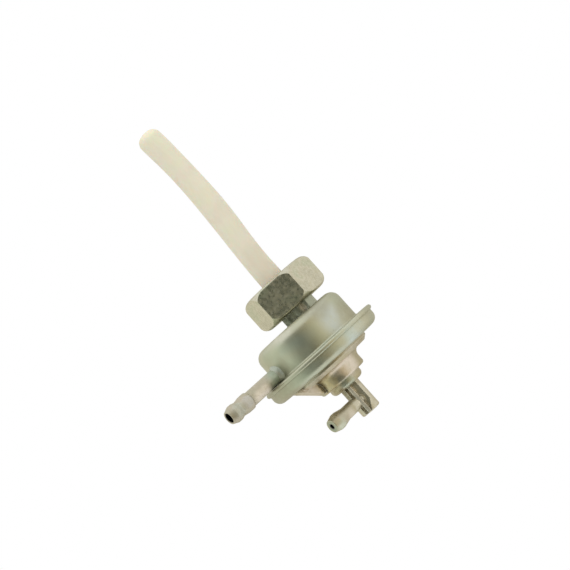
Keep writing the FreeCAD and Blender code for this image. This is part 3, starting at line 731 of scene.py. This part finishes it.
def lightRoom(look):
    world = bpy.data.worlds.new("room")
    bpy.context.scene.world = world
    world.use_nodes = True
    tree = world.node_tree
    tree.nodes.clear()
    output = tree.nodes.new("ShaderNodeOutputWorld")
    ray = addNode(tree, "ShaderNodeLightPath", {})
    direction = addNode(tree, "ShaderNodeTexCoord", {}).outputs["Generated"]
    ahead = vectorCalc(tree, "DOT_PRODUCT", direction, tuple(heading(look["front"]))).outputs["Value"]
    aside = vectorCalc(tree, "DOT_PRODUCT", direction, tuple(heading(look["front"] + 90))).outputs["Value"]
    sideways = calc(tree, "DEGREES", calc(tree, "ARCTAN2", aside, ahead))
    height = addNode(tree, "ShaderNodeSeparateXYZ", {"Vector": direction}).outputs["Z"]
    upward = calc(tree, "DEGREES", calc(tree, "ARCSINE", height))
    stops = [((angle + 180) / 360, tint) for angle, tint in look["wall"]]
    wall = tints(tree, between(tree, sideways, -180, 180, kind="LINEAR"), stops)
    fromBelow = between(tree, upward, *look["wallLow"])
    along = calc(tree, "MULTIPLY", fromBelow, between(tree, upward, *look["wallHigh"], 1.0, 0.0))
    glossy = calc(tree, "MAXIMUM", ray.outputs["Is Glossy Ray"], ray.outputs["Is Transmission Ray"])
    white = (1.0, 1.0, 1.0)
    mirrored = blend(tree, along, white, wall)
    colour = blend(tree, glossy, white, mirrored)
    colour = blend(tree, ray.outputs["Is Camera Ray"], colour, white)
    seen = calc(tree, "MAXIMUM", ray.outputs["Is Camera Ray"], glossy)
    level = addNode(tree, "ShaderNodeMix", {0: seen, 2: look["level"], 3: 1.0}).outputs[0]
    background = addNode(tree, "ShaderNodeBackground", {"Color": colour, "Strength": level})
    tree.links.new(background.outputs["Background"], output.inputs["Surface"])


lightRoom(roomLook)
print("room lit")

# Plain floor well below the part
floorLook = {
    "below": 105 * mm,             # under the part's lowest point
    "radius": 0.10, "corners": 96,
    "colour": (0.93, 0.93, 0.92), "roughness": 0.9, "specular": 0.1,
    "shadowRadius": 0.05, "fade": 0.05,   # round the part the floor keeps its shadow
    "whiteShare": 0.55,
}


def makeFloor(look):
    shape = bmesh.new()
    bmesh.ops.create_circle(shape, cap_ends=True, radius=look["radius"], segments=look["corners"])
    floor = makeObject("floor", shape)
    floor.location = (0, 0, cadLow.z - look["below"])
    tree, shader, material = startMaterial("floorWhite")
    shader.inputs["Base Color"].default_value = (*look["colour"], 1)
    shader.inputs["Roughness"].default_value = look["roughness"]
    shader.inputs["Specular IOR Level"].default_value = look["specular"]
    ray = addNode(tree, "ShaderNodeLightPath", {})
    seen = calc(tree, "MAXIMUM", ray.outputs["Is Camera Ray"], ray.outputs["Is Glossy Ray"])
    seen = calc(tree, "MAXIMUM", seen, ray.outputs["Is Transmission Ray"])
    away = vectorCalc(tree, "LENGTH", ownPlace(tree)).outputs["Value"]
    fadeEnd = look["shadowRadius"] + look["fade"]
    white = between(tree, away, look["shadowRadius"], fadeEnd, look["whiteShare"], 1.0)
    share = calc(tree, "MULTIPLY", seen, white)
    glow = addNode(tree, "ShaderNodeEmission", {"Color": (1, 1, 1, 1), "Strength": 1.0})
    mixed = {0: share, 1: shader.outputs["BSDF"], 2: glow.outputs["Emission"]}
    mix = addNode(tree, "ShaderNodeMixShader", mixed)
    tree.links.new(mix.outputs["Shader"], tree.nodes["Material Output"].inputs["Surface"])
    floor.data.materials.append(material)


makeFloor(floorLook)
print("floor laid")

# Soft lamps
lampLooks = [
    {"name": "topLamp", "azimuth": 300, "elevation": 55, "distance": 0.8, "size": 0.5, "power": 3.0},
    {"name": "sideLamp", "azimuth": 190, "elevation": 20, "distance": 0.8, "size": 0.4, "power": 1.5},
]


def hangLamp(look):
    lamp = bpy.data.lights.new(look["name"], "AREA")
    lamp.shape = "DISK"
    lamp.size = look["size"]
    lamp.energy = look["power"]
    holder = bpy.data.objects.new(look["name"], lamp)
    holder.visible_glossy = False
    away = heading(look["azimuth"]) * math.cos(math.radians(look["elevation"]))
    away.z = math.sin(math.radians(look["elevation"]))
    holder.location = away * look["distance"]
    holder.rotation_mode = "QUATERNION"
    holder.rotation_quaternion = away.to_track_quat("Z", "Y")
    bpy.context.scene.collection.objects.link(holder)


for lampLook in lampLooks:
    hangLamp(lampLook)
print("lamps hung")

# Camera, rolled as the tap lies in the picture
cameraLook = {
    "lens": 100, "sensor": 36,
    "azimuth": -29.98, "elevation": -1.93, "roll": -42.05,
    "distance": 480 * mm,
    "aim": (1.58 * mm, -0.91 * mm, 1.73 * mm),
}


def placeCamera(look):
    data = bpy.data.cameras.new("camera")
    data.lens = look["lens"]
    data.sensor_width = look["sensor"]
    camera = bpy.data.objects.new("camera", data)
    bpy.context.scene.collection.objects.link(camera)
    azimuth, elevation, roll = (math.radians(look[key]) for key in ("azimuth", "elevation", "roll"))
    level = math.cos(elevation)
    back = Vector((math.sin(azimuth) * level, -math.cos(azimuth) * level, math.sin(elevation)))
    camera.location = Vector(look["aim"]) + back * look["distance"]
    right = back.cross(Vector((0, 0, -1))).normalized()
    up = back.cross(right)
    across = right * math.cos(roll) + up * math.sin(roll)
    upward = up * math.cos(roll) - right * math.sin(roll)
    camera.rotation_mode = "QUATERNION"
    camera.rotation_quaternion = Matrix((across, upward, back)).transposed().to_quaternion()
    bpy.context.scene.camera = camera


placeCamera(cameraLook)
bpy.context.scene.view_settings.view_transform = "Standard"
print("camera placed")
